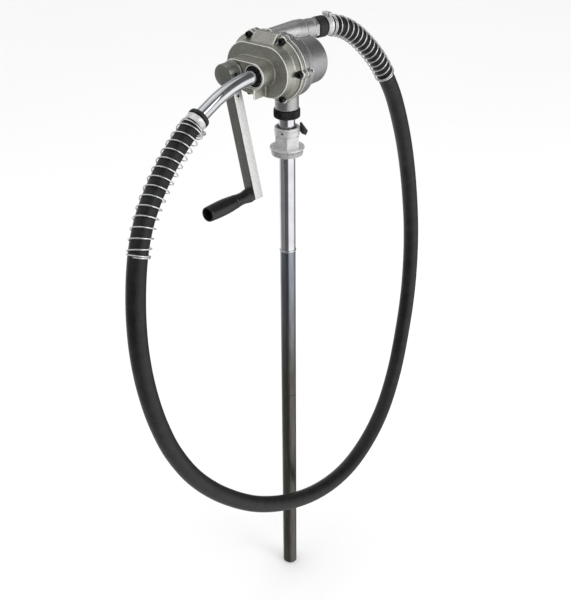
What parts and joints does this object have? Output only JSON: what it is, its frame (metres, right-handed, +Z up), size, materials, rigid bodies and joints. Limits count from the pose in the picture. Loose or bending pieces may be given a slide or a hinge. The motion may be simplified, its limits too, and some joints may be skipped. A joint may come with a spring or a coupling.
{
  "type": "drum barrel pump",
  "caption": "Hand crank geared drum pump on a suction tube with bung adapter, looped delivery hose with spring guards and bent spout parked in a holder.",
  "frame": {"origin": "on the suction tube's axis, at the underside of the adapter's flange, where it seats on the drum bung", "axes": "+Z up along the suction tube, front cover and crank towards -Y, hose outlet towards +Y"},
  "size_m": [0.1694, 0.8266, 1.1138],
  "materials": {
    "cast_aluminium": "sand cast, satin",
    "arm_aluminium": "milled, satin",
    "bright_zinc": "bright zinc plated",
    "chrome": "polished",
    "steel": "machined",
    "bronze": "machined",
    "black_steel": "black oxide",
    "black_plastic": "satin",
    "rubber": "matt",
    "hose_rubber": "wrapped cover, satin",
    "gasket": "fibre sheet"
  },
  "bodies": {
    "adapter": {"bung_adapter": "bright_zinc", "tube_packing": "rubber", "adapter_set_screw": "black_steel"},
    "clamp_lever": {"clamp_screw": "steel", "clamp_lever": "black_plastic"},
    "suction_pipe": {"suction_tube_upper": "chrome", "suction_tube_middle": "steel", "suction_tube_lower": "steel", "tube_nipple_upper": "steel", "tube_nipple_lower": "steel", "tube_joint_ring": "chrome", "tube_collar": "steel"},
    "union_ring": {"union_ring": "black_steel"},
    "pump_head": {"pump_body": "cast_aluminium", "gear_cover": "cast_aluminium", "cover_gasket": "gasket", "cover_screw_1": "black_steel", "cover_screw_2": "black_steel", "cover_screw_3": "black_steel", "cover_screw_4": "black_steel", "cover_screw_5": "black_steel", "cover_screw_6": "black_steel", "crank_bush": "bronze", "crank_shaft_seal": "rubber", "spout_grommet": "rubber", "bearing_plate": "steel", "pump_shaft_seal": "rubber", "idler_shaft": "steel", "union_gasket": "rubber", "outlet_fitting": "bright_zinc", "delivery_hose": "hose_rubber", "outlet_hose_cuff": "rubber", "outlet_hose_clamp": "bright_zinc", "outlet_hose_clamp_screw": "steel", "outlet_spring_guard": "bright_zinc", "spout_hose_cuff": "rubber", "spout_hose_clamp": "bright_zinc", "spout_hose_clamp_screw": "steel", "spout_spring_guard": "bright_zinc", "spout_tube": "chrome"},
    "crank": {"crank_arm": "arm_aluminium", "crank_shaft": "steel", "crank_gear": "steel", "gear_key": "steel", "arm_set_screw": "black_steel", "hub_set_screw": "black_steel", "grip_spindle": "steel"},
    "grip": {"crank_grip": "black_plastic"},
    "pump_drive": {"pinion": "steel", "pump_shaft": "steel", "pump_gear_driver": "steel"},
    "idler_gear": {"pump_gear_idler": "steel"}
  },
  "joints": [
    {"name": "clamp_lever_turn", "type": "hinge", "parent": "adapter", "child": "clamp_lever", "pos_m": [0.0143, 0.0159, 0.031], "axis": [0.6691, 0.7431, 0], "range_deg": [0, 90]},
    {"name": "pump_height", "type": "slide", "parent": "adapter", "child": "suction_pipe", "axis": [0, 0, 1], "range_m": [-0.012, 0.16]},
    {"name": "union_ring_turn", "type": "hinge", "parent": "suction_pipe", "child": "union_ring", "pos_m": [0, 0, 0.061], "axis": [0, 0, 1], "range_deg": [0, 720]},
    {"name": "pump_swivel", "type": "hinge", "parent": "suction_pipe", "child": "pump_head", "pos_m": [0, 0, 0.061], "axis": [0, 0, 1], "range_deg": [-180, 180]},
    {"name": "crank_turn", "type": "hinge", "parent": "pump_head", "child": "crank", "pos_m": [-0.045, 0, 0.138], "axis": [0, 1, 0], "range_deg": [-43, 250]},
    {"name": "grip_spin", "type": "hinge", "parent": "crank", "child": "grip", "pos_m": [0.00097, -0.097, -0.05202], "axis": [0, 1, 0], "continuous": true},
    {"name": "pump_gear_turn", "type": "hinge", "parent": "pump_head", "child": "pump_drive", "pos_m": [-0.01, 0, 0.138], "axis": [0, 1, 0], "range_deg": [-480, 90]},
    {"name": "idler_gear_turn", "type": "hinge", "parent": "pump_head", "child": "idler_gear", "pos_m": [0.018, 0, 0.138], "axis": [0, 1, 0], "range_deg": [-90, 480]}
  ],
  "couplings": [
    {"joint": "pump_gear_turn", "follows": "crank_turn", "ratio": -1.8571},
    {"joint": "idler_gear_turn", "follows": "crank_turn", "ratio": 1.8571}
  ]
}
